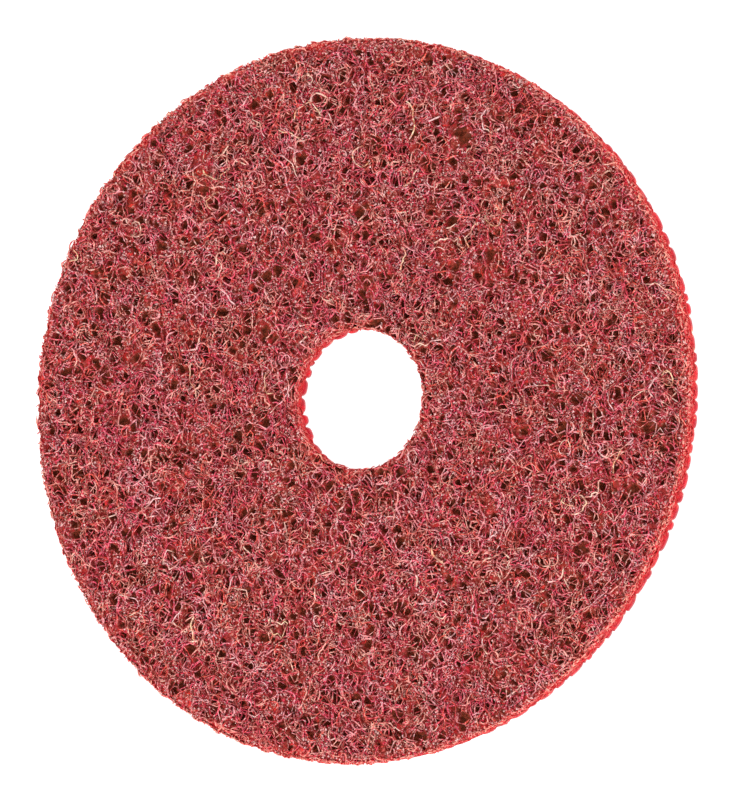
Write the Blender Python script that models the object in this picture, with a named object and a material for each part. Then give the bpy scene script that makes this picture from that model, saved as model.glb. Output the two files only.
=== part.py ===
# Surface conditioning disc: a lofty nonwoven abrasive web bonded to a resin-soaked woven scrim.
# Metres, +Z up. The disc lies flat: its back face is on z = 0, its working face looks up,
# and the arbor hole runs along Z through the origin.

import math
import random
from bisect import bisect

import bmesh
import bpy
from mathutils import Matrix, Vector, noise
from mathutils.kdtree import KDTree

# The disc
DISC_DIAMETER = 0.115
ARBOR_HOLE_DIAMETER = 0.02223
BACKING_THICKNESS = 0.0019
WEB_THICKNESS = 0.0026
LAYER_CLEARANCE = 0.0003
OUT_OF_ROUND = 0.00025
OUT_OF_ROUND_LOBES = 3
OUT_OF_ROUND_TURN = math.radians(12)

# The scrim backing: plain woven yarns whose cut ends swell with resin into beads
YARN_PITCH = 0.0024
YARN_JITTER = 0.26
YARN_SWELL_LEAST = 0.45
RIM_YARN_BULGE = 0.0005
BORE_YARN_BULGE = 0.0008
YARN_SEED = 5
BACKING_EDGE_ROUNDING = 0.0004

# The abrasive web: crimped fibres in soft tufts, with open pits between them
WEB_RIM_SETBACK = 0.0002
WEB_BORE_SETBACK = 0.0002
WEB_RIM_ROUNDING = 0.0006
WEB_BORE_ROUNDING = 0.0005
WEB_EDGE_LUMP_SIZE = 0.0034
WEB_EDGE_LUMP_DEPTH = 0.0004
TUFT_SIZE = 0.0046
TUFT_DEPTH = 0.0008
TUFT_SHUFFLE = 0.25
PIT_SPACING = 0.0038
PIT_JITTER = 0.4
PIT_DEPTH = 0.0012
PIT_DEPTH_LEAST = 0.5
PIT_SEED = 7

# How finely each surface is faceted
YARN_FACET = 0.0007
WEB_FACET = 0.0021
FLAT_FACET = 0.0024
EDGE_STEPS = 2
SHARP_ANGLE = math.radians(30)

# Colours of the dyed and resin-coated surfaces, linear RGB
WEB_COLOUR = (0.347, 0.078, 0.074, 1.0)
BACKING_COLOUR = (0.700, 0.091, 0.080, 1.0)
WEB_ROUGHNESS = 0.85
BACKING_ROUGHNESS = 0.40

DISC_RADIUS = DISC_DIAMETER / 2
ARBOR_HOLE_RADIUS = ARBOR_HOLE_DIAMETER / 2
WEB_BASE = BACKING_THICKNESS + LAYER_CLEARANCE
WEB_TOP = WEB_BASE + WEB_THICKNESS


def clear_scene():
    for old in list(bpy.data.objects):
        bpy.data.objects.remove(old, do_unlink=True)


def matte_material(name, colour, roughness):
    material = bpy.data.materials.new(name)
    material.use_nodes = True
    shader = material.node_tree.nodes["Principled BSDF"]
    shader.inputs["Base Color"].default_value = colour
    shader.inputs["Roughness"].default_value = roughness
    shader.inputs["Metallic"].default_value = 0.0
    material.diffuse_color = colour
    return material


def turned_skin(bm, profile):
    # One ring for each (radius, height, facet) of a closed profile, each with its own number of
    # edges. The rings are bridged while they stand in a stack, which tells the bridge which way
    # round each one runs, and then they drop or rise to their own heights.
    rings = []
    for level, (radius, height, facet) in enumerate(profile):
        count = max(12, round(math.tau * radius / facet))
        place = Matrix.Translation((0, 0, level * facet))
        made = bmesh.ops.create_circle(bm, segments=count, radius=radius, matrix=place)
        verts = made["verts"]
        edges = list(dict.fromkeys(edge for vert in verts for edge in vert.link_edges))
        rings.append((verts, edges))
    for near, far in zip(rings, rings[1:] + rings[:1]):
        bmesh.ops.bridge_loops(bm, edges=near[1] + far[1])
    for (verts, edges), (radius, height, facet) in zip(rings, profile):
        for vert in verts:
            vert.co.z = height
    bmesh.ops.recalc_face_normals(bm, faces=bm.faces)
    return [verts for verts, edges in rings]


def joined(rings):
    return [vert for verts in rings for vert in verts]


def rounded_edge(edge_radius, height, rounding, inward):
    # Radius and height at each step of a quarter round, from the wall up to the face
    steps = []
    for step in range(EDGE_STEPS + 1):
        angle = math.radians(90) * step / EDGE_STEPS
        radius = edge_radius + inward * rounding * (1 - math.cos(angle))
        steps.append((radius, height - rounding * (1 - math.sin(angle))))
    return steps


def radii_between(start, end, spacing):
    # Evenly spaced radii strictly between two edges
    gaps = max(2, round(abs(end - start) / spacing))
    return [start + (end - start) * step / gaps for step in range(1, gaps)]


def push_out(vert, distance):
    # Moves a point away from the disc's axis
    vert.co += Vector((vert.co.x, vert.co.y, 0)).normalized() * distance


def relax_out_of_round(bm):
    # The die-cut disc relaxes into a faintly lobed outline, while its hole stays round
    for vert in bm.verts:
        radius = math.hypot(vert.co.x, vert.co.y)
        angle = math.atan2(vert.co.y, vert.co.x)
        reach = (radius - ARBOR_HOLE_RADIUS) / (DISC_RADIUS - ARBOR_HOLE_RADIUS)
        lobes = math.cos(OUT_OF_ROUND_LOBES * (angle - OUT_OF_ROUND_TURN))
        push_out(vert, OUT_OF_ROUND * reach * lobes)


def lay_yarns():
    # Where one yarn stops and the next one starts, and how far each one's end swells, 1 at most
    scatter = random.Random(YARN_SEED)
    reach = math.ceil(DISC_RADIUS / YARN_PITCH) + 1
    sides = []
    swells = []
    for step in range(-reach, reach + 1):
        sides.append((step + 0.5 + scatter.uniform(-YARN_JITTER, YARN_JITTER)) * YARN_PITCH)
        swells.append(scatter.uniform(YARN_SWELL_LEAST, 1))
    return sides, swells


def yarn_end_bead(point, yarns):
    # The same yarns run along X and along Y. The cut edge bulges where a yarn runs out of it:
    # 1 at the top of the fullest bead, 0 in the notch between two yarns.
    sides, swells = yarns
    angle = math.atan2(point.y, point.x)
    bead = 0
    for across, squareness in ((point.y, math.cos(angle)), (point.x, math.sin(angle))):
        yarn = bisect(sides, across)
        offset = (2 * across - sides[yarn - 1] - sides[yarn]) / (sides[yarn] - sides[yarn - 1])
        round_end = math.sqrt(max(0, 1 - offset * offset))
        bead = max(bead, abs(squareness) * swells[yarn] * round_end)
    return bead


def build_scrim_backing(collection):
    bm = bmesh.new()
    yarns = lay_yarns()
    rim_radius = DISC_RADIUS - RIM_YARN_BULGE
    bore_radius = ARBOR_HOLE_RADIUS + BORE_YARN_BULGE
    flat_radius = (rim_radius + bore_radius) / 2
    rounding = min(BACKING_EDGE_ROUNDING, BACKING_THICKNESS / 3)
    rim = []
    bore = []
    for height, setback in (
        (0, rounding),
        (rounding, 0),
        (BACKING_THICKNESS - rounding, 0),
        (BACKING_THICKNESS, rounding),
    ):
        rim.append((rim_radius - setback, height, YARN_FACET))
        bore.insert(0, (bore_radius + setback, height, YARN_FACET))
    front = [(flat_radius, BACKING_THICKNESS, FLAT_FACET)]
    back = [(flat_radius, 0, FLAT_FACET)]
    rings = turned_skin(bm, rim + front + bore + back)

    for vert in joined(rings[:len(rim)]):
        push_out(vert, RIM_YARN_BULGE * yarn_end_bead(vert.co, yarns))
    for vert in joined(rings[-len(bore) - len(back):-len(back)]):
        push_out(vert, -BORE_YARN_BULGE * yarn_end_bead(vert.co, yarns))
    relax_out_of_round(bm)
    material = matte_material("red_resin_scrim", BACKING_COLOUR, BACKING_ROUGHNESS)
    return finish_object(bm, "scrim_backing", material, collection)


def shape_tufts(verts):
    # Soft hills of fibre: their crests reach the web's full height, the hollows sink between
    # them, and the points shuffle sideways a little so that no ring shows
    for vert in verts:
        place = Vector((vert.co.x, vert.co.y, 0)) / TUFT_SIZE
        vert.co.z -= TUFT_DEPTH * (1 - noise.noise(place)) / 2
        shift = noise.noise_vector(Vector((vert.co.x, vert.co.y, 0)) / WEB_FACET)
        vert.co.x += shift.x * WEB_FACET * TUFT_SHUFFLE
        vert.co.y += shift.y * WEB_FACET * TUFT_SHUFFLE


def sink_pits(verts, inner, outer):
    # Open pits between the tufts: a jittered grid of centres, each taking the nearest point
    tree = KDTree(len(verts))
    for index, vert in enumerate(verts):
        tree.insert(vert.co, index)
    tree.balance()
    scatter = random.Random(PIT_SEED)
    reach = math.ceil(outer / PIT_SPACING)
    sunk = set()
    for row in range(-reach, reach + 1):
        for column in range(-reach, reach + 1):
            x = (column + scatter.uniform(-PIT_JITTER, PIT_JITTER)) * PIT_SPACING
            y = (row + scatter.uniform(-PIT_JITTER, PIT_JITTER)) * PIT_SPACING
            depth = PIT_DEPTH * scatter.uniform(PIT_DEPTH_LEAST, 1)
            index = tree.find((x, y, WEB_TOP))[1]
            if inner < math.hypot(x, y) < outer and index not in sunk:
                verts[index].co.z -= depth
                sunk.add(index)


def build_abrasive_web(collection):
    bm = bmesh.new()
    rim_radius = DISC_RADIUS - WEB_RIM_SETBACK
    bore_radius = ARBOR_HOLE_RADIUS + WEB_BORE_SETBACK
    rim_rounding = min(WEB_RIM_ROUNDING, WEB_THICKNESS * 0.9)
    bore_rounding = min(WEB_BORE_ROUNDING, WEB_THICKNESS * 0.9)
    rim = [(rim_radius, WEB_BASE), *rounded_edge(rim_radius, WEB_TOP, rim_rounding, -1)]
    bore = [(bore_radius, WEB_BASE), *rounded_edge(bore_radius, WEB_TOP, bore_rounding, 1)]
    face_outer = rim_radius - rim_rounding
    face_inner = bore_radius + bore_rounding
    row_spacing = WEB_FACET * math.sqrt(3) / 2
    face = [(radius, WEB_TOP) for radius in radii_between(face_outer, face_inner, row_spacing)]
    upper = [(radius, height, WEB_FACET) for radius, height in rim + face + bore[::-1]]
    underside = [((rim_radius + bore_radius) / 2, WEB_BASE, FLAT_FACET)]
    rings = turned_skin(bm, upper + underside)

    face_verts = joined(rings[len(rim):len(rim) + len(face)])
    for vert in joined(rings[:len(rim)] + rings[len(rim) + len(face):len(upper)]):
        push_out(vert, WEB_EDGE_LUMP_DEPTH * noise.noise(vert.co / WEB_EDGE_LUMP_SIZE))
    shape_tufts(face_verts)
    sink_pits(face_verts, face_inner + WEB_FACET, face_outer - WEB_FACET)
    relax_out_of_round(bm)
    material = matte_material("maroon_fibre_web", WEB_COLOUR, WEB_ROUGHNESS)
    return finish_object(bm, "abrasive_web", material, collection)


def finish_object(bm, name, material, collection):
    mesh = bpy.data.meshes.new(name)
    bm.to_mesh(mesh)
    bm.free()
    mesh.materials.append(material)
    mesh.shade_smooth()
    mesh.set_sharp_from_angle(angle=SHARP_ANGLE)
    part = bpy.data.objects.new(name, mesh)
    collection.objects.link(part)
    return part


def build_disc():
    clear_scene()
    collection = bpy.data.collections.new("surface_conditioning_disc")
    bpy.context.scene.collection.children.link(collection)
    build_scrim_backing(collection)
    build_abrasive_web(collection)


build_disc()
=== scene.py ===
import math
import random

import bmesh
import bpy
import numpy as np
from mathutils import Matrix, Vector, noise


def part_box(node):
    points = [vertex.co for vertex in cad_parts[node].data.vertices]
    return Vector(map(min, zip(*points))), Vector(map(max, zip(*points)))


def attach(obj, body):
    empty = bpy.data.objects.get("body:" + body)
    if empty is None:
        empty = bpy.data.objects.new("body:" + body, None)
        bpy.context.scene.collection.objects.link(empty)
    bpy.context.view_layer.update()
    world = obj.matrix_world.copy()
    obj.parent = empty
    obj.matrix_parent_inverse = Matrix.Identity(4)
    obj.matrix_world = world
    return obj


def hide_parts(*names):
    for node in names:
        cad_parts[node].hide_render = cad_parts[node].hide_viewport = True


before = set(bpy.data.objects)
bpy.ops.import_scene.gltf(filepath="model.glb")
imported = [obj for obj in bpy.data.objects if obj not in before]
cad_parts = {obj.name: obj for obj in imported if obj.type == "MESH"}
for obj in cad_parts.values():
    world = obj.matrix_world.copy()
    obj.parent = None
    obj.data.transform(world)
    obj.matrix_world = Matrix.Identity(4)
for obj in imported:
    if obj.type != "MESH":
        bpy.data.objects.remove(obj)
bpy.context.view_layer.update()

# Surface conditioning disc, dressed. Sizes are in metres; mm keeps them readable.
mm = 0.001

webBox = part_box("abrasive_web")
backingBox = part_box("scrim_backing")

outline = {
    "lobeDepth": 0.25 * mm,     # the cut disc relaxes a little out of round
    "lobes": 3,
    "lobeTurn": math.radians(12),
}

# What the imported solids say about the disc
reaches = [math.hypot(v.co.x, v.co.y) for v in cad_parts["scrim_backing"].data.vertices]
rimRadius = max(reaches) - outline["lobeDepth"]
boreRadius = min(reaches)
webTop = webBox[1].z
backingTop = backingBox[1].z
print("frame read: rim radius %.2f mm, bore radius %.2f mm" % (rimRadius / mm, boreRadius / mm))


# Shader maths


class Wire:
    # A shader socket. Sums on it add Math nodes, and node() adds any other node beside it.
    def __init__(self, tree, socket=None):
        self.tree = tree
        self.socket = socket

    def node(self, kind, settings=None, values=None, output=0):
        made = self.tree.nodes.new(kind)
        for name, value in (settings or {}).items():
            if name == "stops":
                setStops(made.color_ramp, value)
            else:
                setattr(made, name, value)
        for name, value in (values or {}).items():
            if isinstance(value, Wire):
                self.tree.links.new(value.socket, made.inputs[name])
            else:
                made.inputs[name].default_value = value
        return Wire(self.tree, made.outputs[output])

    def sum(self, operation, *terms):
        return self.node("ShaderNodeMath", {"operation": operation}, dict(enumerate(terms)))

    def __add__(self, other):
        return self.sum("ADD", self, other)

    def __sub__(self, other):
        return self.sum("SUBTRACT", self, other)

    def __rsub__(self, other):
        return self.sum("SUBTRACT", other, self)

    def __mul__(self, other):
        return self.sum("MULTIPLY", self, other)

    __radd__ = __add__
    __rmul__ = __mul__

    def between(self, low, high):
        # 0 below low, 1 above high, eased between
        values = {"Value": self, "From Min": low, "From Max": high}
        return self.node("ShaderNodeMapRange", {"interpolation_type": "SMOOTHSTEP"}, values)

    def mix(self, first, second):
        # this value picks from the first colour to the second; the colour leaves at output 2
        values = {"Factor": self, "A": first, "B": second}
        return self.node("ShaderNodeMix", {"data_type": "RGBA"}, values, output=2)


def setStops(ramp, stops):
    while len(ramp.elements) < len(stops):
        ramp.elements.new(0.5)
    for element, (place, colour) in zip(ramp.elements, stops):
        element.position = place
        element.color = colour


def startMaterial(name):
    material = bpy.data.materials.new(name)
    material.use_nodes = True
    tree = material.node_tree
    shader = tree.nodes["Principled BSDF"]
    place = Wire(tree).node("ShaderNodeTexCoord", output="Object")
    return material, shader, place


def plug(wire, shader, name):
    wire.tree.links.new(wire.socket, shader.inputs[name])


def speckle(place, size, detail=0.0):
    # Cloudy noise round 0.5, whose features are about one size across
    values = {"Vector": place, "Scale": 1 / size, "Detail": detail}
    return place.node("ShaderNodeTexNoise", None, values)


def blotches(place, size, span, detail=0.0):
    # Spots of that noise: 0 at the first value of the span, 1 at the second
    return speckle(place, size, detail).between(*span)


def heightOf(place):
    return place.node("ShaderNodeSeparateXYZ", None, {"Vector": place}, output="Z")


def meshValue(place, name):
    # A value that storeValues has put on the mesh
    return place.node("ShaderNodeAttribute", {"attribute_name": name}, output="Fac")


def coated(colour, pattern, coat):
    # The colour with a coat over it where the pattern is past the coat's span
    return (pattern.between(*coat["span"]) * coat["share"]).mix(colour, coat["tone"])


def dress(shader, colour, relief, look):
    # Colour, sheen and a fine relief, which follows the relief wire
    plug(colour, shader, "Base Color")
    shader.inputs["Roughness"].default_value = look["roughness"]
    shader.inputs["Specular IOR Level"].default_value = look["sheen"]
    values = {"Height": relief, "Strength": look["reliefStrength"], "Distance": look["reliefDepth"]}
    plug(relief.node("ShaderNodeBump", None, values), shader, "Normal")


print("shader tools ready")


# Shapes shared by the pieces


leastEdges = 12                 # of a ring
hiddenFacet = 8                 # edges are this many times as long where nothing shows


def turnedSkin(profile):
    # One ring for each (radius, height, facet) of a closed profile, each with its own number of
    # edges. They are bridged while they stand in a stack, then they go to their own heights.
    bm = bmesh.new()
    rings = []
    for level, (radius, height, facet) in enumerate(profile):
        count = max(leastEdges, round(math.tau * radius / facet))
        made = bmesh.ops.create_circle(
            bm, segments=count, radius=radius, matrix=Matrix.Translation((0, 0, level * facet))
        )
        edges = list(dict.fromkeys(edge for vert in made["verts"] for edge in vert.link_edges))
        rings.append((made["verts"], edges))
    for near, far in zip(rings, rings[1:] + rings[:1]):
        bmesh.ops.bridge_loops(bm, edges=near[1] + far[1])
    for (verts, edges), (radius, height, facet) in zip(rings, profile):
        for vert in verts:
            vert.co.z = height
    bmesh.ops.recalc_face_normals(bm, faces=bm.faces)
    return bm


def steps(start, end, spacing):
    # Evenly spaced values from start to end, with both ends
    count = max(2, round(abs(end - start) / spacing) + 1)
    return list(np.linspace(start, end, count))


noiseOffset = {"lumps": 0, "clusters": 2, "warpX": 4, "knots": 5, "grit": 6, "warpY": 8, "tufts": 15}


def noiseAt(points, size, use):
    # Blender's own noise, read at many points. Each use reads a stretch of its own.
    shift = Vector([noiseOffset[use]] * 3)
    return np.array([noise.noise(Vector(p) / size + shift) for p in points])


def flatNoise(x, y, size, use):
    # That noise at height 0, in the shape of x and y
    points = np.stack([x.ravel(), y.ravel(), np.zeros(x.size)], axis=1)
    return noiseAt(points, size, use).reshape(x.shape)


def relaxed(points):
    # The lobed outline, growing from nothing at the bore
    radius = np.hypot(points[:, 0], points[:, 1])
    angle = np.arctan2(points[:, 1], points[:, 0])
    reach = (radius - boreRadius) / (rimRadius - boreRadius)
    lobes = np.cos(outline["lobes"] * (angle - outline["lobeTurn"]))
    growth = 1 + outline["lobeDepth"] * reach * lobes / np.maximum(radius, mm)
    return points * np.stack([growth, growth, np.ones_like(growth)], axis=1)


def readPoints(mesh):
    points = np.zeros(len(mesh.vertices) * 3)
    mesh.vertices.foreach_get("co", points)
    return points.reshape(-1, 3)


def writePoints(mesh, points):
    mesh.vertices.foreach_set("co", np.ascontiguousarray(points, dtype=np.float32).ravel())
    mesh.update()


def storeValues(mesh, name, values):
    # One value for each point, which a material reads by its name
    stored = mesh.attributes.new(name, "FLOAT", "POINT")
    stored.data.foreach_set("value", values.astype(np.float32))


def meshFrom(bm, name):
    mesh = bpy.data.meshes.new(name)
    bm.to_mesh(mesh)
    bm.free()
    return mesh


def addPiece(mesh, name, slot, *nodes):
    piece = bpy.data.objects.new(name, mesh)
    bpy.context.scene.collection.objects.link(piece)
    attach(piece, "root")
    if nodes:
        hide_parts(*nodes)
    mesh.calc_loop_triangles()
    print("  %s: %d triangles" % (name, len(mesh.loop_triangles)))
    return piece


# Pits: open pores between the tufts, shared by the web's body and its fibres

pitLayout = {
    "spacing": 1.90 * mm,
    "jitter": 0.45,             # share of the spacing
    "smallest": 0.18 * mm,
    "largest": 1.16 * mm,
    "share": 0.92,              # of the places that hold a pit
    "clusterSize": 8.0 * mm,    # pits grow and shrink together over this distance,
    "clusterSwing": 0.25,       # by up to about half of this share
    "rimFade": 1.4 * mm,        # they grow to full size over this distance from the rim,
    "rimMargin": 0.4,           # past a margin of this share of it
    "warpSize": 0.9 * mm,
    "warp": 0.95 * mm,          # how far their outlines stray from circles
    "noPit": 0.01 * mm,         # radius that a place without a pit counts as
    "farAway": 9.0,             # in radii, the distance at which a pit stops counting
    "seed": 11,
}


def layPits():
    rng = np.random.default_rng(pitLayout["seed"])
    half = math.ceil(rimRadius / pitLayout["spacing"]) + 2
    rows, columns = np.mgrid[-half:half + 1, -half:half + 1].astype(float)
    jitter = pitLayout["jitter"]
    x = (columns + rng.uniform(-jitter, jitter, rows.shape)) * pitLayout["spacing"]
    y = (rows + rng.uniform(-jitter, jitter, rows.shape)) * pitLayout["spacing"]
    radius = rng.uniform(pitLayout["smallest"], pitLayout["largest"], rows.shape)
    clusters = flatNoise(x, y, pitLayout["clusterSize"], "clusters")
    radius *= 1 + pitLayout["clusterSwing"] * clusters
    radius[rng.uniform(size=rows.shape) > pitLayout["share"]] = 0
    growth = (rimRadius - np.hypot(x, y)) / pitLayout["rimFade"] - pitLayout["rimMargin"]
    radius *= np.clip(growth, 0, 1)
    return {"x": x, "y": y, "radius": radius, "half": half}


pits = layPits()


def nearestPit(x, y):
    # For each point: its offset from the pit it is deepest in, and how far out that is, where 1
    # is the pit's brim
    warpX = flatNoise(x, y, pitLayout["warpSize"], "warpX") * pitLayout["warp"]
    warpY = flatNoise(x, y, pitLayout["warpSize"], "warpY") * pitLayout["warp"]
    edge = 2 * pits["half"] - 1
    column = np.clip(np.rint(x / pitLayout["spacing"]).astype(int) + pits["half"], 1, edge)
    row = np.clip(np.rint(y / pitLayout["spacing"]).astype(int) + pits["half"], 1, edge)
    best = np.full(x.shape, pitLayout["farAway"])
    awayX = np.zeros_like(x)
    awayY = np.zeros_like(x)
    for stepRow in (-1, 0, 1):
        for stepColumn in (-1, 0, 1):
            at = (row + stepRow, column + stepColumn)
            dx = x + warpX - pits["x"][at]
            dy = y + warpY - pits["y"][at]
            share = np.hypot(dx, dy) / np.maximum(pits["radius"][at], pitLayout["noPit"])
            closer = share < best
            best = np.where(closer, share, best)
            awayX = np.where(closer, dx, awayX)
            awayY = np.where(closer, dy, awayY)
    return awayX, awayY, best


# The web's profile: a rounded rim and a rounded bore

webShape = {
    "rimSetback": -0.02 * mm,   # inwards from the backing's rim
    "boreSetback": -0.04 * mm,
    "rimRounding": 0.55 * mm,
    "boreRounding": 0.45 * mm,
    "lumpSize": 3.2 * mm,
    "lumpDepth": 0.18 * mm,
    "lumpSwing": 1.2,           # stretches the noise to fill that depth
    "tuftSize": 1.5 * mm,       # small tufts make the cut edges uneven,
    "rimTufts": 0.42 * mm,      # by about half of this, in or out
    "boreTufts": 0.26 * mm,
}
webRim = rimRadius - webShape["rimSetback"]
webBore = boreRadius + webShape["boreSetback"]
webMiddle = (webRim + webBore) / 2


def edgeDrop(radius):
    # How far the rounded rim and bore bring the face down at each radius
    drop = np.zeros_like(radius)
    for edge, rounding in (
        (webRim - radius, webShape["rimRounding"]),
        (radius - webBore, webShape["boreRounding"]),
    ):
        inside = np.clip(rounding - edge, 0, rounding)
        drop += rounding - np.sqrt(rounding**2 - inside**2)
    return drop


def wallSetback(height, rounding):
    # How far a rounded edge leans back from the wall at each height
    over = np.clip(height - (webTop - rounding), 0, rounding)
    return rounding - np.sqrt(rounding**2 - over**2)


def tufts(x, y):
    # How far the tufts stand out of a cut edge, less than 0 where they fall short of it
    reach = np.where(np.hypot(x, y) > webMiddle, webShape["rimTufts"], webShape["boreTufts"])
    return flatNoise(x, y, webShape["tuftSize"], "tufts") * reach


def lumps(x, y):
    # Soft hills of the lofty web: 0 at the crests, down to lumpDepth between them
    hills = flatNoise(x, y, webShape["lumpSize"], "lumps") * webShape["lumpSwing"]
    return (hills - 0.5) * webShape["lumpDepth"]


# Colour that the web's body and its fibres share: dye with patches of painted shade, resin at the
# foot, and cut edges that are redder and partly lightened by a painted highlight

dyeAndPaintedShade = {
    "paintedShadeSize": 1.1 * mm,
    # deep is painted shade: it darkens random patches to maroon
    "deep": {"span": (0.52, 0.36), "share": 0.66, "tone": (0.22, 0.022, 0.016, 1)},
    "driftSize": 3.0 * mm,
    "driftSpan": (0.40, 0.60),
    "cool": (0.98, 0.95, 1.06, 1),      # these two multiply the colour
    "warm": (1.0, 1.04, 0.90, 1),
}
resinSoak = {
    "span": (2.2 * mm, 0.8 * mm),       # dry and soaked through at these heights over the backing
    "blotch": 1.6 * mm,
    "uneven": 1.2 * mm,
}
# Where cut fibres are redder; the band also lightens them, which is partly a painted highlight along
# the rim and bore
cutBand = {
    "rim": (1.3 * mm, 0.2 * mm),        # begins and is full at these distances from the edge
    "bore": (2.0 * mm, 0.3 * mm),
    "boreShare": 0.7,
    "wall": (0.05 * mm, 0.6 * mm),      # the wall begins and is full at these depths
    "wallShare": 0.35,
    "blotch": 2.2 * mm,
    "uneven": 1.8 * mm,
}
dustPatch = 3.4 * mm            # dust and grain gather in patches of about this size


def resinRise(place):
    # The red resin of the backing soaks up into the foot of the web, higher in some places
    height = heightOf(place) + (speckle(place, resinSoak["blotch"]) - 0.5) * resinSoak["uneven"]
    return height.between(*[backingTop + level for level in resinSoak["span"]])


def cutEdge(place):
    # How near the die's cut, at the rim and bore, where the fibres are redder, and lighter as a
    # painted highlight
    flat = place.node("ShaderNodeVectorMath", {"operation": "MULTIPLY"}, {0: place, 1: (1, 1, 0)})
    radius = flat.node("ShaderNodeVectorMath", {"operation": "LENGTH"}, {0: flat}, output="Value")
    radius = radius + (speckle(place, cutBand["blotch"]) - 0.5) * cutBand["uneven"]
    rim = radius.between(*[webRim - inwards for inwards in cutBand["rim"]])
    bore = radius.between(*[webBore + outwards for outwards in cutBand["bore"]])
    wall = heightOf(place).between(*[webTop - depth for depth in cutBand["wall"]])
    onWall = wall * cutBand["wallShare"] + (1 - cutBand["wallShare"])
    return (rim + bore * cutBand["boreShare"]) * onWall


def shaded(place, colour):
    # Patches of painted shade: random places are darkened to maroon as if the web lay deeper
    # there, and the dye drifts between a cool crimson and a warm brick red
    colour = coated(colour, speckle(place, dyeAndPaintedShade["paintedShadeSize"], detail=1.0), dyeAndPaintedShade["deep"])
    drift = blotches(place, dyeAndPaintedShade["driftSize"], dyeAndPaintedShade["driftSpan"], detail=2.0)
    drift = drift.mix(dyeAndPaintedShade["cool"], dyeAndPaintedShade["warm"])
    return place.node("ShaderNodeVectorMath", {"operation": "MULTIPLY"}, {0: colour, 1: drift})


# The web's body, below the standing fibres

webBody = {
    "facet": 0.42 * mm,
    "faceRings": 0.9,           # rings of the face lie this many facets apart,
    "faceMargin": 0.1 * mm,     # and the outer ones this far from the walls
    "below": 0.60 * mm,         # the fibres stand this much above it
    "knotSize": 0.9 * mm,
    "knotDepth": 0.34 * mm,
    "pitDepth": 1.1 * mm,
    "pitBrim": 1.15,            # in radii, where a pit's slope begins
    "edgeWidth": 0.3 * mm,      # what lies nearer than this to a wall is ragged,
    "edgeKnots": 0.20 * mm,     # by knots of this depth,
    "edgeKnotTop": 0.6,         # counted down from this value of the noise
}
bodyLook = {
    "granule": 0.44 * mm,
    "granuleTones": (           # resin first, then fibre, then pale grain
        (0.05, (0.20, 0.022, 0.016, 1)),
        (0.32, (0.36, 0.030, 0.036, 1)),
        (0.54, (0.54, 0.080, 0.085, 1)),
        (0.74, (0.62, 0.21, 0.19, 1)),
        (0.92, (0.72, 0.42, 0.39, 1)),
    ),
    "patchSwing": 0.6,          # paler granules gather in patches
    "gap": {"span": (0.30, 0.65), "share": 1.0, "tone": (0.22, 0.025, 0.017, 1)},
    "strands": (                # size of their loops, width, shift of the noise, tone
        (1.3 * mm, 0.040, (0, 0, 0), (0.46, 0.022, 0.035, 1)),
        (1.1 * mm, 0.036, (0.03, 0.01, 0), (0.60, 0.11, 0.10, 1)),
        (1.5 * mm, 0.034, (0.07, 0.05, 0), (0.62, 0.035, 0.028, 1)),
    ),
    "strandCore": 0.35,         # a strand is fully its own tone over this share of its width
    "crackSpan": (0.25, 0.60),
    # Near the cut edges: paler granules, partly a painted highlight, and red cracks
    "cut": ((0.88, 0.30, 0.24, 1), (0.52, 0.016, 0.022, 1)),        # granule, crack
    "cutShare": 0.75,
    "soaked": (0.56, 0.018, 0.022, 1),
    "soakShare": 0.85,
    # Painted shade in the pits: dark olive brown on their slopes and floors, darker in the cracks
    # between granules
    "pitShadeSpan": (0.05, 0.50),
    "pitShade": ((0.24, 0.034, 0.015, 1), (0.125, 0.024, 0.010, 1)),
    "roughness": 0.55,
    "sheen": 0.08,
    "reliefStrength": 0.9,
    "reliefDepth": 0.14 * mm,
}


def strandLines(place, size, width, shift):
    # Curved lines like matted strands: the places where cloudy noise crosses its middle value
    moved = place.node("ShaderNodeVectorMath", {"operation": "ADD"}, {0: place, 1: shift})
    cloud = speckle(moved, size)
    away = cloud.sum("ABSOLUTE", cloud - 0.5)
    return away.between(width, width * bodyLook["strandCore"])


def bodyMaterial():
    material, shader, place = startMaterial("matted fibre and grain")
    cells = {"Vector": place, "Scale": 1 / bodyLook["granule"], "Randomness": 1.0}
    gap = place.node("ShaderNodeTexVoronoi", None, cells)
    pick = place.node("ShaderNodeTexVoronoi", None, cells, output="Color")
    pick = pick.node("ShaderNodeSeparateColor", None, {"Color": pick})
    swing = bodyLook["patchSwing"]
    pick = pick + speckle(place, dustPatch, detail=1.0) * swing - swing / 2
    granules = pick.node("ShaderNodeValToRGB", {"stops": bodyLook["granuleTones"]}, {"Fac": pick})
    colour = shaded(place, coated(granules, gap, bodyLook["gap"]))
    relief = 0.5 - gap
    for size, width, shift, tone in bodyLook["strands"]:
        line = strandLines(place, size, width, shift)
        colour = line.mix(colour, shaded(place, tone))
        relief = relief.sum("MAXIMUM", relief, line)
    crack = gap.between(*bodyLook["crackSpan"])
    colour = (cutEdge(place) * bodyLook["cutShare"]).mix(colour, crack.mix(*bodyLook["cut"]))
    colour = (resinRise(place) * bodyLook["soakShare"]).mix(colour, bodyLook["soaked"])
    # Painted shade: the pits are painted dark, on top of the shade of their real hollows
    inPit = meshValue(place, "hollow").between(*bodyLook["pitShadeSpan"])
    dress(shader, inPit.mix(colour, crack.mix(*bodyLook["pitShade"])), relief, bodyLook)
    return material


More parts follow.
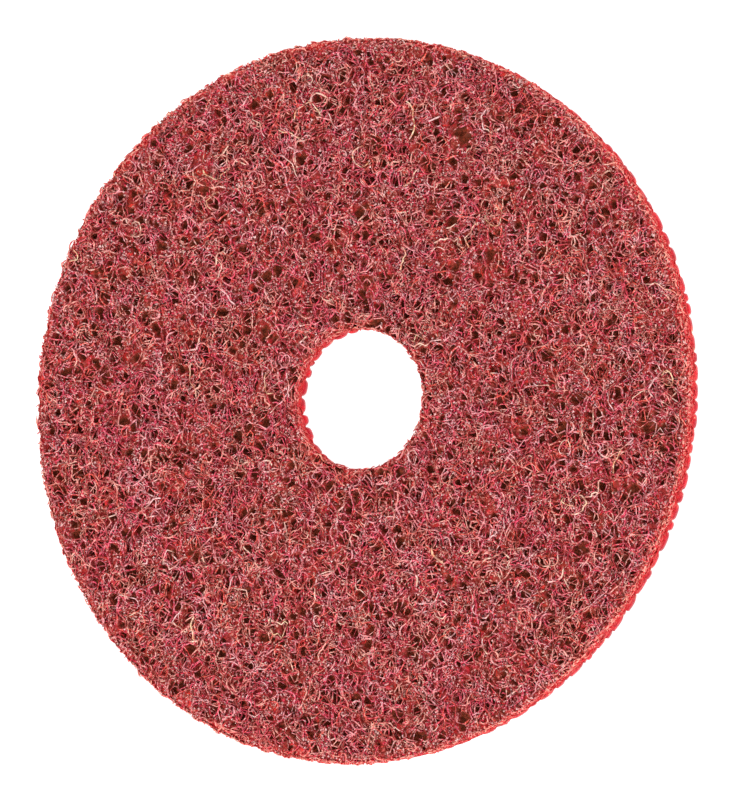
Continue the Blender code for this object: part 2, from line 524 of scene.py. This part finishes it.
def makeWebBody():
    facet = webBody["facet"]
    margin = webBody["faceMargin"]
    rimTop = webTop - webShape["rimRounding"]
    boreTop = webTop - webShape["boreRounding"]
    faceRings = steps(webRim - margin, webBore + margin, facet * webBody["faceRings"])
    rim = [(webRim, height, facet) for height in steps(backingTop, rimTop, facet)]
    face = [(radius, webTop, facet) for radius in faceRings]
    bore = [(webBore, height, facet) for height in steps(boreTop, backingTop, facet)]
    under = [(webMiddle, backingTop, hiddenFacet * facet)]
    mesh = meshFrom(turnedSkin(rim + face + bore + under), "web body")

    points = readPoints(mesh)
    x, y, z = points.T
    radius = np.hypot(x, y)
    onFace = z > webTop - 0.001 * mm
    depth = np.clip(webBody["pitBrim"] - nearestPit(x, y)[2], 0, 1) * onFace
    knots = noiseAt(points, webBody["knotSize"], "knots")
    slope = webBody["pitDepth"] * depth * (3 - 2 * depth) * depth
    sink = edgeDrop(radius) + webBody["below"] - lumps(x, y)
    sink += webBody["knotDepth"] * (0.5 - knots) + slope
    points[:, 2] = np.maximum(z - np.where(onFace, sink, 0), backingTop)
    outward = np.where(radius > webMiddle, 1, -1)
    nearEdge = np.minimum(webRim - radius, radius - webBore) < webBody["edgeWidth"]
    ragged = (knots - webBody["edgeKnotTop"]) * webBody["edgeKnots"] + tufts(x, y)
    ragged = np.where(nearEdge & (z > backingTop), ragged, 0)
    points[:, :2] *= (1 + outward * ragged / np.maximum(radius, mm))[:, None]
    writePoints(mesh, relaxed(points))
    storeValues(mesh, "hollow", depth)
    mesh.shade_smooth()
    mesh.materials.append(bodyMaterial())
    return addPiece(mesh, "web_body", "abrasive_web", "abrasive_web")


makeWebBody()
print("web body made")


# Fibres

# Each shade runs from a dark to a light tone; the light tones partly stand for a painted highlight
# on the fibres
shades = {
    "salmon": ((0.50, 0.046, 0.064), (0.84, 0.32, 0.31)),
    "crimson": ((0.34, 0.010, 0.030), (0.72, 0.056, 0.110)),
    "scarlet": ((0.44, 0.018, 0.022), (0.76, 0.080, 0.066)),
    "maroon": ((0.20, 0.018, 0.015), (0.42, 0.042, 0.044)),
    "blush": ((0.62, 0.18, 0.16), (0.88, 0.60, 0.53)),
    "straw": ((0.80, 0.34, 0.20), (0.95, 0.72, 0.50)),
}
fibreLook = {
    "tintAndHighlightSize": 0.85 * mm,
    "tintAndHighlightSpan": (0.38, 0.60),       # dark to light
    "grainSize": 0.29 * mm,
    "dustSpan": (0.46, 0.64),
    "dustPatchSpan": (0.38, 0.60),
    "dustShare": 0.45,              # everywhere,
    "dustPatchShare": 0.50,         # and this much more in the dusty patches
    "dust": (0.68, 0.39, 0.36, 1),
    "soil": {"span": (0.48, 0.38), "share": 0.40, "tone": (0.20, 0.022, 0.018, 1)},
    "cutSize": 0.5 * mm,
    "cutSpan": (0.42, 0.58),
    # Near the cut edges the fibres run from red to a pale salmon, which is partly a painted
    # highlight
    "cut": ((0.66, 0.016, 0.026, 1), (0.92, 0.38, 0.30, 1)),
    "cutShare": 0.82,
    "soaked": (0.62, 0.018, 0.026, 1),
    "soakShare": 0.75,
    "roughness": 0.45,
    "sheen": 0.08,
    "reliefStrength": 0.5,
    "reliefDepth": 0.07 * mm,
}


def fibreMaterial(name, dark, light):
    material, shader, place = startMaterial("dyed fibre, " + name)
    grain = speckle(place, fibreLook["grainSize"], detail=1.0)
    patches = blotches(place, dustPatch, fibreLook["dustPatchSpan"], detail=1.0)
    # Along each fibre the colour swings from the shade's dark tone to its light one, partly a
    # painted highlight
    tintAndHighlight = blotches(place, fibreLook["tintAndHighlightSize"], fibreLook["tintAndHighlightSpan"], detail=1.0)
    dustShare = patches * fibreLook["dustPatchShare"] + fibreLook["dustShare"]
    dusted = grain.between(*fibreLook["dustSpan"]) * dustShare
    colour = coated(tintAndHighlight.mix((*dark, 1), (*light, 1)), grain, fibreLook["soil"])
    colour = shaded(place, dusted.mix(colour, fibreLook["dust"]))
    cut = blotches(place, fibreLook["cutSize"], fibreLook["cutSpan"], detail=1.0)
    colour = (cutEdge(place) * fibreLook["cutShare"]).mix(colour, cut.mix(*fibreLook["cut"]))
    colour = (resinRise(place) * fibreLook["soakShare"]).mix(colour, fibreLook["soaked"])
    dress(shader, colour, grain, fibreLook)
    return material


fibreMaterials = [fibreMaterial(name, *pair) for name, pair in shades.items()]
fibreForm = {
    "step": 0.60 * mm,          # between two points of a path
    "fewest": 4,                # points of a path that is kept
    "curl": (0.05, 1.05),       # bend, in radians per millimetre,
    "drift": 0.09,              # and how much it changes at each step
    "crimp": 0.30,              # swing of the crimp's waves, in radians
    "crimpLength": 0.45 * mm,   # for each radian of a wave, as below
    "rise": 0.09 * mm,          # waves up and down
    "riseLength": 0.8 * mm,
    "pitReach": 1.28,           # in radii, how far out a pit pushes fibres aside
    "pitMargin": (0.72, 1.12),  # each fibre takes the pits for this much larger or smaller
    "pitCore": 0.05,            # in radii, the least distance from a pit's middle that counts
    "edgeMargin": 0.05 * mm,
    "endDip": 0.15 * mm,        # both ends dip into the web
    "joinDistance": 0.0001 * mm,
}


def threeSided():
    # The fibre's section, drawn so that the swept tube faces outwards
    section = bpy.data.curves.new("fibre section", "CURVE")
    section.dimensions = "2D"
    corners = section.splines.new("POLY")
    corners.points.add(2)
    corners.use_cyclic_u = True
    for point, turn in zip(corners.points, (0, -1, 1)):
        angle = turn * math.tau / 3
        point.co = (math.cos(angle), math.sin(angle), 0, 1)
    return bpy.data.objects.new("fibre section", section)


fibreSection = threeSided()


def pickShades(rng, weights, count):
    return rng.choice(len(fibreMaterials), count, p=np.array(weights) / sum(weights))


def sweepFibres(name, fibres, picks):
    # fibres is a list of (points, thickness). Each becomes a closed tube with pointed ends.
    curve = bpy.data.curves.new(name, "CURVE")
    curve.dimensions = "3D"
    curve.bevel_mode = "OBJECT"
    curve.bevel_object = fibreSection
    for material in fibreMaterials:
        curve.materials.append(material)
    for (points, thickness), pick in zip(fibres, picks):
        spline = curve.splines.new("POLY")
        spline.points.add(len(points) - 1)
        spline.points.foreach_set("co", np.column_stack([points, np.ones(len(points))]).ravel())
        radii = np.full(len(points), thickness / 2)
        radii[[0, -1]] = 0
        spline.points.foreach_set("radius", radii)
        spline.material_index = int(pick)
    holder = bpy.data.objects.new(name, curve)
    bpy.context.scene.collection.objects.link(holder)
    depsgraph = bpy.context.evaluated_depsgraph_get()
    mesh = bpy.data.meshes.new_from_object(holder.evaluated_get(depsgraph), depsgraph=depsgraph)
    bpy.data.objects.remove(holder)
    bpy.data.curves.remove(curve)
    bm = bmesh.new()
    bm.from_mesh(mesh)
    bmesh.ops.remove_doubles(bm, verts=bm.verts, dist=fibreForm["joinDistance"])
    bm.to_mesh(mesh)
    bm.free()
    writePoints(mesh, relaxed(readPoints(mesh)))
    mesh.shade_smooth()
    return mesh


def wander(rng, count, stepCount, stepLength, curl, crimp):
    # Paths whose heading drifts in arcs, with the small regular waves of crimped staple fibre
    heading = rng.uniform(-math.pi, math.pi, (count, 1))
    sign = rng.choice([-1, 1], (count, 1))
    bend = sign * rng.uniform(*curl, (count, 1)) / mm
    drift = rng.normal(0, fibreForm["drift"], (count, stepCount)).cumsum(axis=1) / mm
    turn = ((bend + drift) * stepLength).cumsum(axis=1)
    length = np.arange(stepCount) * stepLength
    phase = rng.uniform(0, math.tau, (count, 1))
    angle = heading + turn + crimp * np.sin(length / fibreForm["crimpLength"] + phase)
    dx = np.cos(angle) * stepLength
    dy = np.sin(angle) * stepLength
    return dx.cumsum(axis=1), dy.cumsum(axis=1)


strayStrand = {                 # one pale strand lies loose on the face
    "shade": "straw",
    "thickness": 0.46 * mm,
    "path": (                   # x and y in mm, and how many thicknesses below the web's top
        (12.7, -23.5, 1.5),
        (13.0, -24.3, 0.7),
        (13.3, -25.2, 0.5),
        (14.0, -25.8, 0.5),
        (14.9, -26.4, 0.7),
        (15.3, -27.4, 1.5),
    ),
}
# Depths and thicknesses are in mm, steps are the fewest and the most of a fibre, bridging is the
# share that crosses the pits, and the weights go with the shades in their order
faceLayers = {
    "web_fibres_low": {
        "depth": (0.45, 0.85), "thickness": (0.25, 0.37), "count": 2900, "steps": (7, 13),
        "bridging": 0.40, "weights": (1.5, 5, 2, 4.5, 0, 0), "seed": 21,
    },
    "web_fibres_mid": {
        "depth": (0.18, 0.48), "thickness": (0.22, 0.34), "count": 2900, "steps": (6, 13),
        "bridging": 0.17, "weights": (2.8, 5.5, 2.2, 2, 0.3, 0), "seed": 22,
    },
    "web_fibres_top": {
        "depth": (0.02, 0.28), "thickness": (0.18, 0.31), "count": 2700, "steps": (6, 14),
        "bridging": 0.14, "weights": (4, 5.5, 1.8, 1, 0.7, 0.1), "seed": 23, "stray": strayStrand,
    },
}


def trimmed(points, inside):
    # The run of a path that lies inside, counted from its middle
    middle = len(points) // 2
    if not inside[middle]:
        return points[:0]
    outside = np.flatnonzero(~inside)
    before = outside[outside < middle]
    after = outside[outside > middle]
    start = before[-1] + 1 if len(before) else 0
    end = after[0] if len(after) else len(points)
    return points[start:end]


def layStrand(strand):
    path = np.array(strand["path"])
    path[:, :2] *= mm
    path[:, 2] = webTop - strand["thickness"] * path[:, 2]
    return path, strand["thickness"]


def makeFaceLayer(name, layer):
    rng = np.random.default_rng(layer["seed"])
    count = layer["count"]
    most = layer["steps"][1]
    dx, dy = wander(rng, count, most, fibreForm["step"], fibreForm["curl"], fibreForm["crimp"])
    radius = np.sqrt(rng.uniform(webBore**2, webRim**2, (count, 1)))
    angle = rng.uniform(0, math.tau, (count, 1))
    x = radius * np.cos(angle) + dx - dx[:, [most // 2]]
    y = radius * np.sin(angle) + dy - dy[:, [most // 2]]

    # Fibres go round the pits, apart from those that bridge them
    awayX, awayY, share = nearestPit(x, y)
    bridging = rng.uniform(size=(count, 1)) < layer["bridging"]
    share /= rng.uniform(*fibreForm["pitMargin"], (count, 1))
    reach = fibreForm["pitReach"]
    pushed = np.where((share < reach) & ~bridging, 1 + share * (reach - 1) / reach, share)
    scale = pushed / np.maximum(share, fibreForm["pitCore"])
    x += awayX * (scale - 1)
    y += awayY * (scale - 1)

    radius = np.hypot(x, y)
    level = rng.uniform(*layer["depth"], (count, 1)) * mm
    length = np.arange(most) * fibreForm["step"]
    phase = rng.uniform(0, math.tau, (count, 1))
    wave = fibreForm["rise"] * np.sin(length / fibreForm["riseLength"] + phase)
    z = webTop + lumps(x, y) - edgeDrop(radius) - level + wave
    thickness = rng.uniform(*layer["thickness"], count) * mm
    z = np.minimum(z, webTop - thickness[:, None] / 2)
    tuft = tufts(x, y)
    margin = fibreForm["edgeMargin"]
    inside = (radius < webRim - margin + tuft) & (radius > webBore + margin - tuft)
    sizes = rng.integers(layer["steps"][0], most + 1, count)
    fibres = []
    for index in range(count):
        start = (most - sizes[index]) // 2
        take = slice(start, start + sizes[index])
        path = np.stack([x[index, take], y[index, take], z[index, take]], axis=1)
        path = trimmed(path, inside[index, take])
        if len(path) >= fibreForm["fewest"]:
            path[[0, -1], 2] -= fibreForm["endDip"]
            fibres.append((path, thickness[index]))
    picks = pickShades(rng, layer["weights"], len(fibres))
    if "stray" in layer:
        fibres.append(layStrand(layer["stray"]))
        picks = np.append(picks, list(shades).index(layer["stray"]["shade"]))
    mesh = sweepFibres(name, fibres, picks)
    return addPiece(mesh, name, "abrasive_web")


for layerName, layerValues in faceLayers.items():
    makeFaceLayer(layerName, layerValues)
print("face fibres made")


# Cut edges: fibres lying along the rim's wall and the bore's wall, with their cut ends

edgeFibres = {
    "rim": {"count": 3600, "radius": webRim, "rounding": webShape["rimRounding"], "outward": 1},
    "bore": {"count": 600, "radius": webBore, "rounding": webShape["boreRounding"], "outward": -1},
    "step": 0.65 * fibreForm["step"],
    "steps": (4, 6),
    "curl": (0.2, 1.6),
    "crimp": 0.35,
    "thickness": (0.18, 0.32),      # in mm
    "proud": (-0.18, 0.14),         # in mm, out of the wall
    "wave": 0.08 * mm,              # in and out of the wall
    "waveLength": 0.5 * mm,
    "starts": (0.1 * mm, 0.15 * mm),    # a fibre begins this far over the foot and under the top,
    "limits": (0.05 * mm, 0.10 * mm),   # and is cut off where it comes nearer than this
    "foot": 1.0 * mm,               # fibres lower than this over the backing take footWeights
    # The paler shades weigh more on the walls, partly as a painted highlight
    "weights": (5, 4, 3, 0.5, 1.6, 1.5),
    "footWeights": (2.5, 5, 5, 0.5, 0.3, 0.6),
    "seed": 31,
}
stubs = {                           # short cut ends that point outwards
    "share": 0.20,                  # how many, for each fibre that lies along the wall
    "starts": (0.2, 0.12),          # in mm over the foot and under the top, as all that follows
    "highest": 0.1,
    "reach": (-0.7, -0.3, 0.0, 0.18),   # of the four points, out of the wall
    "reachStray": (-0.05, 0.12),
    "bend": 0.35,                   # sideways, in the proportions of the next row
    "bendShape": (0, 0.3, 0.8, 1.4),
    "rise": 0.12,
    "riseShape": (0, 1, 2, 3),
}


def lyingFibres(rng, edge):
    count = edge["count"]
    most = edgeFibres["steps"][1]
    along, up = wander(rng, count, most, edgeFibres["step"], edgeFibres["curl"], edgeFibres["crimp"])
    along *= rng.choice([-1, 1], (count, 1))
    angle = rng.uniform(0, math.tau, (count, 1)) + along / edge["radius"]
    overFoot, underTop = edgeFibres["starts"]
    z = rng.uniform(backingTop + overFoot, webTop - underTop, (count, 1)) + up
    thickness = rng.uniform(*edgeFibres["thickness"], count) * mm
    proud = rng.uniform(*edgeFibres["proud"], (count, 1)) * mm
    phase = rng.uniform(0, math.tau, (count, 1))
    wave = edgeFibres["wave"] * np.sin(along / edgeFibres["waveLength"] + phase)
    overFoot, underTop = edgeFibres["limits"]
    inside = (z > backingTop + overFoot) & (z < webTop - underTop)
    setback = wallSetback(z, edge["rounding"])
    tuft = tufts(edge["radius"] * np.cos(angle), edge["radius"] * np.sin(angle))
    radius = edge["radius"] + edge["outward"] * (proud + wave - setback + tuft)
    points = np.stack([radius * np.cos(angle), radius * np.sin(angle), z], axis=2)
    sizes = rng.integers(edgeFibres["steps"][0], most + 1, count)
    paths = [trimmed(points[index, :size], inside[index, :size]) for index, size in enumerate(sizes)]
    return [pair for pair in zip(paths, thickness) if len(pair[0]) >= fibreForm["fewest"]]


def cutStubs(rng, edge):
    fibres = []
    overFoot, underTop = stubs["starts"]
    for index in range(int(edge["count"] * stubs["share"])):
        height = rng.uniform(backingTop + overFoot * mm, webTop - underTop * mm)
        reach = np.array(stubs["reach"]) * mm + rng.uniform(*stubs["reachStray"]) * mm
        reach = edge["radius"] + edge["outward"] * (reach - wallSetback(height, edge["rounding"]))
        bend = rng.normal(0, stubs["bend"]) * np.array(stubs["bendShape"]) * mm / edge["radius"]
        turn = rng.uniform(0, math.tau) + bend
        rise = height + rng.normal(0, stubs["rise"]) * np.array(stubs["riseShape"]) * mm
        rise = np.minimum(rise, webTop - stubs["highest"] * mm)
        path = np.stack([reach * np.cos(turn), reach * np.sin(turn), rise], axis=1)
        fibres.append((path, rng.uniform(*edgeFibres["thickness"]) * mm))
    return fibres


def makeEdgeFibres():
    rng = np.random.default_rng(edgeFibres["seed"])
    fibres = []
    for edge in (edgeFibres["rim"], edgeFibres["bore"]):
        fibres += lyingFibres(rng, edge)
        fibres += cutStubs(rng, edge)
    heights = np.array([path[:, 2].mean() for path, thickness in fibres])
    footPicks = pickShades(rng, edgeFibres["footWeights"], len(fibres))
    picks = pickShades(rng, edgeFibres["weights"], len(fibres))
    picks = np.where(heights < backingTop + edgeFibres["foot"], footPicks, picks)
    return addPiece(sweepFibres("edge_fibres", fibres, picks), "edge_fibres", "abrasive_web")


makeEdgeFibres()
print("edge fibres made")


# Abrasive grain: small sharp chips caught in the resin between and on the fibres

grit = {
    "tries": 92000,
    "share": 0.46,              # of the tries that are kept, more in some patches
    "patchSwing": 1.3,
    "pitMargin": 1.0,           # in radii, how near to a pit a grain may lie
    "smallest": 0.14 * mm,
    "largest": 0.30 * mm,
    "stretch": (0.7, 1.2),
    "depth": 0.60 * mm,         # of the deepest ones
    "depthLean": 1.7,           # past 1, most lie near the top
    "sunk": 0.7,                # share of its size by which each one sinks in
    "weights": (2.6, 5.6, 3.6, 1.2),
    "roughness": 0.35,
    "sheen": 0.3,
    "seed": 41,
}
grainShades = {
    "ash": (0.62, 0.37, 0.35, 1),
    "rose": (0.58, 0.20, 0.19, 1),
    "wine": (0.50, 0.022, 0.050, 1),
    "umber": (0.16, 0.040, 0.022, 1),
}


def grainMaterial(name, colour):
    material, shader, place = startMaterial("abrasive grain, " + name)
    shader.inputs["Base Color"].default_value = colour
    shader.inputs["Roughness"].default_value = grit["roughness"]
    shader.inputs["Specular IOR Level"].default_value = grit["sheen"]
    return material


def turns(rng, count):
    # Random rotation matrices
    q = rng.normal(size=(count, 4))
    a, b, c, d = (q / np.linalg.norm(q, axis=1)[:, None]).T
    rows = [
        [1 - 2 * (c * c + d * d), 2 * (b * c - a * d), 2 * (b * d + a * c)],
        [2 * (b * c + a * d), 1 - 2 * (b * b + d * d), 2 * (c * d - a * b)],
        [2 * (b * d - a * c), 2 * (c * d + a * b), 1 - 2 * (b * b + c * c)],
    ]
    return np.moveaxis(np.array(rows), 2, 0)


def makeGrains():
    rng = np.random.default_rng(grit["seed"])
    tries = grit["tries"]
    radius = np.sqrt(rng.uniform(webBore**2, webRim**2, tries))
    angle = rng.uniform(0, math.tau, tries)
    x = radius * np.cos(angle)
    y = radius * np.sin(angle)
    share = grit["share"] + grit["patchSwing"] * flatNoise(x, y, dustPatch, "grit")
    keep = (rng.uniform(size=tries) < share) & (nearestPit(x, y)[2] > grit["pitMargin"])
    x, y, radius = x[keep], y[keep], radius[keep]
    count = len(x)
    size = rng.uniform(grit["smallest"], grit["largest"], count)
    deep = rng.uniform(0.0, 1.0, count) ** grit["depthLean"] * grit["depth"]
    z = webTop + lumps(x, y) - edgeDrop(radius) - deep - size * grit["sunk"]
    places = np.stack([x, y, z], axis=1)

    corners = np.array([(1, 1, 1), (1, -1, -1), (-1, 1, -1), (-1, -1, 1)]) / math.sqrt(3)
    shape = corners[None] * rng.uniform(*grit["stretch"], (count, 1, 3))
    points = np.einsum("nij,nkj->nki", turns(rng, count), shape) * size[:, None, None]
    points = (points + places[:, None]).reshape(-1, 3)
    sides = np.array([(0, 1, 2), (0, 3, 1), (0, 2, 3), (1, 3, 2)])
    faces = (sides + len(corners) * np.arange(count)[:, None, None]).reshape(-1, 3)
    mesh = bpy.data.meshes.new("grains")
    mesh.from_pydata(relaxed(points).tolist(), [], faces.tolist())
    for name, colour in grainShades.items():
        mesh.materials.append(grainMaterial(name, colour))
    weights = np.array(grit["weights"]) / sum(grit["weights"])
    picks = rng.choice(len(grainShades), count, p=weights)
    mesh.polygons.foreach_set("material_index", np.repeat(picks, len(sides)))
    return addPiece(mesh, "web_grains", "abrasive_web")


makeGrains()
print("grains made")


# The scrim backing: plain weave soaked in red resin, its cut yarn ends swollen into beads

scrim = {
    "yarnPitch": 2.4 * mm,
    "yarnJitter": 0.26,         # the gaps between yarns stray by this share of the pitch
    "yarnSeed": 5,
    "leastSwell": 0.55,
    "beadWidth": 0.94,          # share of a yarn's width
    "beadPower": 3,             # 2 makes a round bead, more a squarer one
    "turnOver": (0.5, 0.87),    # sines of 30 and 60 degrees, between which both sets of yarns end
    "rimBulge": 0.66 * mm,
    "boreBulge": 1.35 * mm,
    "boreProud": 0.42 * mm,     # how far the fullest beads stand into the bore
    "bulgeFrom": 3.0 * mm,      # the bulge grows over the last few millimetres,
    "bulgePower": 8,            # and mostly at the very edge
    "weaveDepth": 0.28 * mm,
    "weaveSwing": 0.38,         # share of that by which a yarn goes over and under
    "backFacet": 0.50 * mm,
    "backRings": 0.9,           # rings of the back lie this many facets apart
    "backMargin": 0.3 * mm,
    "edgeFacet": 0.22 * mm,
    "rounding": 0.55 * mm,
    "wallRows": 7,
    "wallTurn": 30,             # degrees of the section's turn over which its straight part runs
}
resinLook = {
    "cloudSize": 1.8 * mm,
    "cloudSpan": (0.35, 0.65),
    "cloud": ((0.39, 0.002, 0.015, 1), (0.63, 0.008, 0.018, 1)),
    "streakSize": 0.40 * mm,
    "shadow": {"span": (0.48, 0.36), "share": 0.7, "tone": (0.34, 0.006, 0.010, 1)},
    # Painted highlight: pale red spots on the streaks, standing in for glints on the resin
    "paintedHighlight": {"span": (0.56, 0.66), "share": 0.25, "tone": (0.78, 0.09, 0.08, 1)},
    "gap": {"span": (0.70, 0.25), "share": 0.8, "tone": (0.14, 0.003, 0.006, 1)},
    "bareSize": 0.9 * mm,
    "worn": ((0.84, 1.0), (0.36, 0.60)),        # spans of the weave's height and of the bare spots
    "wornShare": 0.55,
    "wornTone": (0.88, 0.40, 0.26, 1),
    "straw": ((0.35, 0.80), (0.48, 0.60)),      # spans of the notches and of the bare spots there,
    "strawAnywhere": (0.68, 0.76),              # and of the barest spots
    "strawShare": 0.75,
    "strawTone": (0.86, 0.50, 0.28, 1),
    "frontCrown": 0.8,          # weave's height that counts where it isn't the back
    "roughness": 0.25,
    "sheen": 0.12,
    "reliefStrength": 0.7,
    "reliefDepth": 0.12 * mm,
}


def resinMaterial():
    material, shader, place = startMaterial("red resin over woven yarn")
    streak = speckle(place, resinLook["streakSize"], detail=2.0)
    bare = speckle(place, resinLook["bareSize"], detail=2.0)
    notch = meshValue(place, "notch")
    crown = meshValue(place, "crown")
    colour = blotches(place, resinLook["cloudSize"], resinLook["cloudSpan"], detail=2.0)
    colour = colour.mix(*resinLook["cloud"])
    for pattern, coat in ((streak, "shadow"), (streak, "paintedHighlight"), (crown, "gap")):
        colour = coated(colour, pattern, resinLook[coat])
    crownSpan, bareSpan = resinLook["worn"]
    worn = crown.between(*crownSpan) * bare.between(*bareSpan)
    colour = (worn * resinLook["wornShare"]).mix(colour, resinLook["wornTone"])
    notchSpan, bareSpan = resinLook["straw"]
    straw = notch.between(*notchSpan) * bare.between(*bareSpan)
    straw = straw + bare.between(*resinLook["strawAnywhere"])
    straw = straw.sum("MINIMUM", straw, 1.0)
    colour = (straw * resinLook["strawShare"]).mix(colour, resinLook["strawTone"])
    dress(shader, colour, streak, resinLook)
    return material


def layYarns():
    # Where one yarn stops and the next one starts, and how far each one's end swells, 1 at most
    scatter = random.Random(scrim["yarnSeed"])
    reach = math.ceil(rimRadius / scrim["yarnPitch"]) + 1
    sides = []
    swells = []
    for step in range(-reach, reach + 1):
        stray = scatter.uniform(-scrim["yarnJitter"], scrim["yarnJitter"])
        sides.append((step + 0.5 + stray) * scrim["yarnPitch"])
        swells.append(scatter.uniform(scrim["leastSwell"], 1))
    return np.array(sides), np.array(swells)


yarnSides, yarnSwells = layYarns()


def acrossYarn(across):
    # Which yarn each point belongs to, and its place across it: -1 and 1 at the sides
    yarn = np.clip(np.searchsorted(yarnSides, across), 1, len(yarnSides) - 1)
    low, high = yarnSides[yarn - 1], yarnSides[yarn]
    return yarn, (2 * across - low - high) / (high - low)


def yarnBeads(x, y):
    # 1 at the top of the fullest bead of resin on a yarn's end, 0 in the notch between two yarns
    beads = []
    yarns = 0
    for across in (y, x):
        yarn, offset = acrossYarn(across)
        yarns = yarns + yarn
        fall = np.abs(offset / scrim["beadWidth"]) ** scrim["beadPower"]
        beads.append(yarnSwells[yarn] * np.sqrt(np.clip(1 - fall, 0, 1)))
    # Near an axis only one set of yarns ends at the cut. Between the axes the two sets take turns.
    lean = np.abs(x) / np.hypot(x, y)
    low, high = scrim["turnOver"]
    return np.where(np.where(yarns % 2 == 0, lean > low, lean > high), beads[0], beads[1])


def strip(over, across, along):
    # Height of one rounded yarn, which rises and falls along its length
    wave = scrim["weaveSwing"] * over * np.cos(math.pi / 2 * along)
    return np.sqrt(np.clip(1 - across**2, 0, 1)) * (1 - scrim["weaveSwing"] + wave)


def plainWeave(x, y):
    # Height of a plain weave, 1 at most: each yarn goes over one and under the next
    yarnX, offsetY = acrossYarn(y)
    yarnY, offsetX = acrossYarn(x)
    over = np.where((yarnX + yarnY) % 2 == 0, 1, -1)
    return np.maximum(strip(over, offsetY, offsetX), strip(-over, offsetX, offsetY))


def roundedWall():
    # The cut edge's section, from the back to the front: how far in, and how high
    rounding = scrim["rounding"]
    half = backingTop / 2
    wall = []
    for turn in np.linspace(-90, 90, scrim["wallRows"]):
        side = math.radians(turn)
        height = half + (half - rounding) * np.sign(turn) * min(1, abs(turn) / scrim["wallTurn"])
        height += rounding * math.sin(side)
        wall.append((rounding * (1 - math.cos(side)), min(max(height, 0), backingTop)))
    return wall


def makeScrim():
    facet = scrim["edgeFacet"]
    middle = (rimRadius + boreRadius) / 2
    rimBase = rimRadius - scrim["rimBulge"]
    boreBase = boreRadius + scrim["boreBulge"] - scrim["boreProud"]
    rim = [(rimBase - back, z, facet) for back, z in roundedWall()]
    bore = [(boreBase + back, z, facet) for back, z in reversed(roundedWall())]
    front = [(middle, backingTop, hiddenFacet * facet)]
    inset = scrim["rounding"] + scrim["backMargin"]
    facet = scrim["backFacet"]
    backRings = steps(boreBase + inset, rimBase - inset, facet * scrim["backRings"])
    back = [(radius, 0.0, facet) for radius in backRings]
    mesh = meshFrom(turnedSkin(rim + front + bore + back), "scrim")

    points = readPoints(mesh)
    x, y, z = points.T
    radius = np.hypot(x, y)
    wide = np.clip(np.abs(radius - middle) / (middle - boreRadius - scrim["bulgeFrom"]), 0, 1)
    wide = wide ** scrim["bulgePower"]
    outward = np.where(radius > middle, scrim["rimBulge"], -scrim["boreBulge"])
    beads = yarnBeads(x, y)
    points[:, :2] *= (1 + outward * beads * wide / radius)[:, None]
    onBack = z < 0.01 * mm
    points[:, 2] += np.where(onBack, scrim["weaveDepth"] * (1 - plainWeave(x, y)), 0)
    writePoints(mesh, relaxed(points))
    storeValues(mesh, "notch", np.where(onBack, 0, (1 - beads) * wide))
    storeValues(mesh, "crown", np.where(onBack, plainWeave(x, y), resinLook["frontCrown"]))
    mesh.shade_smooth()
    mesh.materials.append(resinMaterial())
    return addPiece(mesh, "scrim_cloth", "scrim_backing", "scrim_backing")


makeScrim()
print("scrim made")


# Studio: pale floor, soft light, and the photograph's viewing angle

studio = {
    "floorSize": 6.0,
    "floorColour": (0.35, 0.35, 0.35, 1),
    "floorRoughness": 0.9,
    "floorGlow": 0.95,
    "glowColour": (1, 1, 1, 1),
    "skyColour": (1, 1, 1, 1),
    "skyStrength": 0.86,
    "keyPlace": (-0.40, -0.60, 1.0),    # near the lower left, which is a little brighter
    "keySize": 0.35,
    "keyPower": 12,
    "fillPlace": (2.2, -0.3, 0.9),      # lights the walls that face the camera
    "fillSize": 1.2,
    "fillPower": 34,
    "lensAngle": math.radians(26.6),    # how far the view leans off the disc's axis
    "lensTurn": math.radians(-9.8),
    "distance": 2.3,
    "clipEnd": 20,
    "lens": 654,
    "sensor": 36,
    "slideRight": 1.65 * mm,            # the disc stands a little left of the frame's middle
    "slideUp": -0.2 * mm,
}


def makeFloor():
    bm = bmesh.new()
    bmesh.ops.create_grid(bm, x_segments=1, y_segments=1, size=studio["floorSize"] / 2)
    mesh = meshFrom(bm, "floor")
    material, shader, place = startMaterial("pale floor")
    shader.inputs["Base Color"].default_value = studio["floorColour"]
    shader.inputs["Roughness"].default_value = studio["floorRoughness"]
    shader.inputs["Emission Color"].default_value = studio["glowColour"]
    shader.inputs["Emission Strength"].default_value = studio["floorGlow"]
    mesh.materials.append(material)
    floor = bpy.data.objects.new("floor", mesh)
    bpy.context.scene.collection.objects.link(floor)


def makeLights():
    world = bpy.data.worlds.new("soft sky")
    bpy.context.scene.world = world
    world.use_nodes = True
    sky = world.node_tree.nodes["Background"]
    sky.inputs["Color"].default_value = studio["skyColour"]
    sky.inputs["Strength"].default_value = studio["skyStrength"]
    for name in ("key", "fill"):
        lamp = bpy.data.lights.new(name, "AREA")
        lamp.energy = studio[name + "Power"]
        lamp.size = studio[name + "Size"]
        holder = bpy.data.objects.new(name, lamp)
        holder.location = studio[name + "Place"]
        holder.rotation_euler = (-holder.location).to_track_quat("-Z", "Y").to_euler()
        bpy.context.scene.collection.objects.link(holder)


def makeCamera():
    lean = studio["lensAngle"]
    turn = studio["lensTurn"]
    back = Vector((math.sin(lean) * math.cos(turn), math.sin(lean) * math.sin(turn), math.cos(lean)))
    right = Vector((0, 1, 0)).cross(back).normalized()
    up = back.cross(right)
    target = Vector((0, 0, webTop)) + right * studio["slideRight"] + up * studio["slideUp"]
    lens = bpy.data.cameras.new("camera")
    lens.lens = studio["lens"]
    lens.sensor_width = studio["sensor"]
    lens.clip_end = studio["clipEnd"]
    camera = bpy.data.objects.new("camera", lens)
    camera.rotation_euler = Matrix((right, up, back)).transposed().to_euler()
    camera.location = target + back * studio["distance"]
    bpy.context.scene.collection.objects.link(camera)
    bpy.context.scene.camera = camera


makeFloor()
makeLights()
makeCamera()
bpy.context.scene.view_settings.view_transform = "Standard"
bpy.data.objects.remove(fibreSection)
print("studio made")
